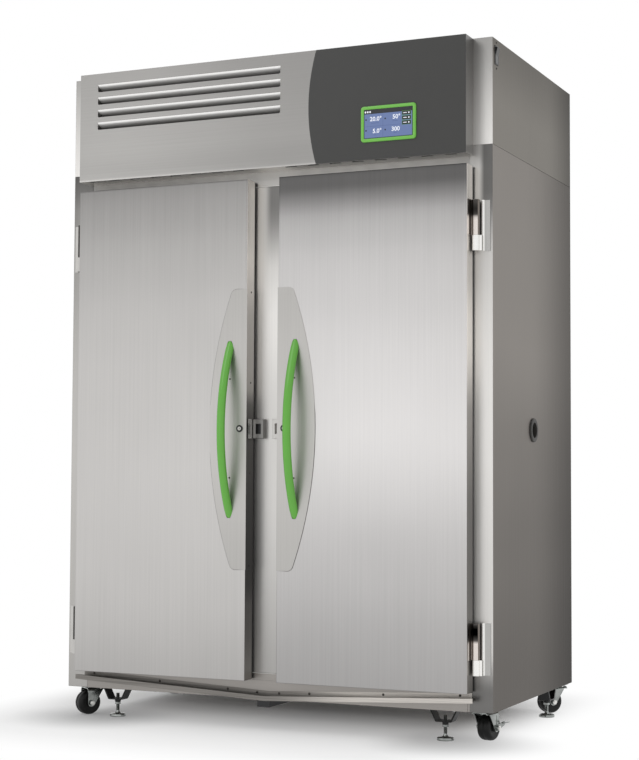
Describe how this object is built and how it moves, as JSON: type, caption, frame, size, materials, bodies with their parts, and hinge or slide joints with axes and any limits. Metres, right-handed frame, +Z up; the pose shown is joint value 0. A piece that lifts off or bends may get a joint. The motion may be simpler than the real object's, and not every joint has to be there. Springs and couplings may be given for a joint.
{
  "type": "plant growth chamber",
  "caption": "Floor-standing insulated cabinet with a louvred header and touch display, hinged doors with bow handles, lit wire shelves, casters and levelling feet.",
  "frame": {"origin": "on the floor, in the middle of the outline from the handles to the back", "axes": "+Z up, +Y from the doors to the back, +X to the right seen from in front"},
  "size_m": [1.5451, 1.0134, 2.21],
  "materials": {
    "stainless": "brushed satin",
    "handle_plates": "bead blasted",
    "foam": "closed cell foam",
    "liner_enamel": "white enamel",
    "header_metal": "brushed satin",
    "charcoal_film": "satin film",
    "green_plastic": "moulded satin",
    "screen_glass": "clear cover glass",
    "black_rubber": "matte",
    "black_plastic": "moulded",
    "polished_steel": "polished",
    "zinc": "zinc plated",
    "black_paint": "black enamel",
    "coil_fins": "mill finish",
    "lamp_housing": "white enamel",
    "fan_plastic": "moulded",
    "shelf_wire": "electropolished",
    "liner_enamel_core": "foam behind a white inner skin"
  },
  "bodies": {
    "cabinet": {"side_panel_left": "stainless", "side_panel_right": "stainless", "back_panel": "stainless", "base_pan": "stainless", "top_deck": "stainless", "insulation": "foam", "inner_liner": "liner_enamel", "mullion": "stainless", "module_cover": "stainless", "header_fascia": "header_metal", "control_panel": "charcoal_film", "display_bezel": "green_plastic", "display_unit": "screen_glass", "frame_hinges": "polished_steel", "latch_keepers": "polished_steel", "drip_tray": "stainless", "drain_channel": "black_plastic", "foot_brackets": "black_paint", "caster_plates": "zinc", "access_port": "black_rubber", "switch_body": "black_plastic", "shelf_standards": "shelf_wire", "shelves": "shelf_wire", "lamp_canopies": "lamp_housing", "air_plenum": "liner_enamel", "evaporator_coil": "coil_fins", "compressor": "black_paint", "condenser_coil": "coil_fins"},
    "door_left": {"door_panel_left": "stainless", "door_core_left": "liner_enamel_core", "door_gasket_left": "black_rubber", "handle_plate_left": "handle_plates", "door_handle_left": "green_plastic", "hinge_leaves_left": "polished_steel", "lock_case_left": "polished_steel"},
    "lock_left": {"lock_plug_left": "polished_steel"},
    "door_right": {"door_panel_right": "stainless", "door_core_right": "liner_enamel_core", "door_gasket_right": "black_rubber", "handle_plate_right": "handle_plates", "door_handle_right": "green_plastic", "hinge_leaves_right": "polished_steel", "lock_case_right": "polished_steel"},
    "lock_right": {"lock_plug_right": "polished_steel"},
    "fork_front_left": {"caster_fork_front_left": "zinc"},
    "wheel_front_left": {"caster_wheel_front_left": "black_rubber"},
    "fork_front_right": {"caster_fork_front_right": "zinc"},
    "wheel_front_right": {"caster_wheel_front_right": "black_rubber"},
    "brake_lever": {"brake_lever": "zinc"},
    "fork_rear_left": {"caster_fork_rear_left": "zinc"},
    "wheel_rear_left": {"caster_wheel_rear_left": "black_rubber"},
    "fork_rear_right": {"caster_fork_rear_right": "zinc"},
    "wheel_rear_right": {"caster_wheel_rear_right": "black_rubber"},
    "foot_front_left": {"levelling_foot_front_left": "zinc"},
    "foot_front_right": {"levelling_foot_front_right": "zinc"},
    "foot_rear_left": {"levelling_foot_rear_left": "zinc"},
    "foot_rear_right": {"levelling_foot_rear_right": "zinc"},
    "rocker": {"power_rocker": "black_plastic"},
    "circulation_fan": {"circulation_fan": "fan_plastic"},
    "condenser_fan": {"condenser_fan": "fan_plastic"}
  },
  "joints": [
    {"name": "door_left_hinge", "type": "hinge", "parent": "cabinet", "child": "door_left", "pos_m": [-0.7216, -0.39525, 0.981], "axis": [0, 0, -1], "range_deg": [0, 110]},
    {"name": "lock_left_turn", "type": "hinge", "parent": "door_left", "child": "lock_left", "pos_m": [-0.0803, -0.43575, 0.981], "axis": [0, 1, 0], "range_deg": [0, 90]},
    {"name": "door_right_hinge", "type": "hinge", "parent": "cabinet", "child": "door_right", "pos_m": [0.7216, -0.39525, 0.981], "axis": [0, 0, 1], "range_deg": [0, 110]},
    {"name": "lock_right_turn", "type": "hinge", "parent": "door_right", "child": "lock_right", "pos_m": [0.0803, -0.43575, 0.981], "axis": [0, -1, 0], "range_deg": [0, 90]},
    {"name": "caster_front_left_swivel", "type": "hinge", "parent": "cabinet", "child": "fork_front_left", "pos_m": [-0.708, -0.28475, 0.09], "axis": [0, 0, 1], "continuous": true},
    {"name": "caster_front_left_roll", "type": "hinge", "parent": "fork_front_left", "child": "wheel_front_left", "pos_m": [-0.72524, -0.31171, 0.041], "axis": [-0.8425, 0.5388, 0], "continuous": true},
    {"name": "caster_front_right_swivel", "type": "hinge", "parent": "cabinet", "child": "fork_front_right", "pos_m": [0.708, -0.28475, 0.09], "axis": [0, 0, 1], "continuous": true},
    {"name": "caster_front_right_roll", "type": "hinge", "parent": "fork_front_right", "child": "wheel_front_right", "pos_m": [0.71422, -0.25336, 0.041], "axis": [0.981, -0.1942, 0], "continuous": true},
    {"name": "brake_press", "type": "hinge", "parent": "fork_front_right", "child": "brake_lever", "pos_m": [0.71422, -0.25336, 0.041], "axis": [-0.981, 0.1942, 0], "range_deg": [0, 25]},
    {"name": "caster_rear_left_swivel", "type": "hinge", "parent": "cabinet", "child": "fork_rear_left", "pos_m": [-0.7295, 0.45585, 0.09], "axis": [0, 0, 1], "continuous": true},
    {"name": "caster_rear_left_roll", "type": "hinge", "parent": "fork_rear_left", "child": "wheel_rear_left", "pos_m": [-0.7135, 0.42814, 0.041], "axis": [-0.866, -0.5, 0], "continuous": true},
    {"name": "caster_rear_right_swivel", "type": "hinge", "parent": "cabinet", "child": "fork_rear_right", "pos_m": [0.7295, 0.45585, 0.09], "axis": [0, 0, 1], "continuous": true},
    {"name": "caster_rear_right_roll", "type": "hinge", "parent": "fork_rear_right", "child": "wheel_rear_right", "pos_m": [0.70743, 0.43268, 0.041], "axis": [-0.7242, 0.6896, 0], "continuous": true},
    {"name": "foot_front_left_height", "type": "slide", "parent": "cabinet", "child": "foot_front_left", "axis": [0, 0, -1], "range_m": [0, 0.02]},
    {"name": "foot_front_right_height", "type": "slide", "parent": "cabinet", "child": "foot_front_right", "axis": [0, 0, -1], "range_m": [0, 0.02]},
    {"name": "foot_rear_left_height", "type": "slide", "parent": "cabinet", "child": "foot_rear_left", "axis": [0, 0, -1], "range_m": [0, 0.02]},
    {"name": "foot_rear_right_height", "type": "slide", "parent": "cabinet", "child": "foot_rear_right", "axis": [0, 0, -1], "range_m": [0, 0.02]},
    {"name": "rocker_tip", "type": "hinge", "parent": "cabinet", "child": "rocker", "pos_m": [0.7605, -0.33255, 2.1575], "axis": [0, -1, 0], "range_deg": [0, 14]},
    {"name": "circulation_fan_spin", "type": "hinge", "parent": "cabinet", "child": "circulation_fan", "pos_m": [0, 0.32935, 1.48], "axis": [0, 1, 0], "continuous": true},
    {"name": "condenser_fan_spin", "type": "hinge", "parent": "cabinet", "child": "condenser_fan", "pos_m": [-0.286, -0.20345, 2.005], "axis": [0, 1, 0], "continuous": true}
  ]
}
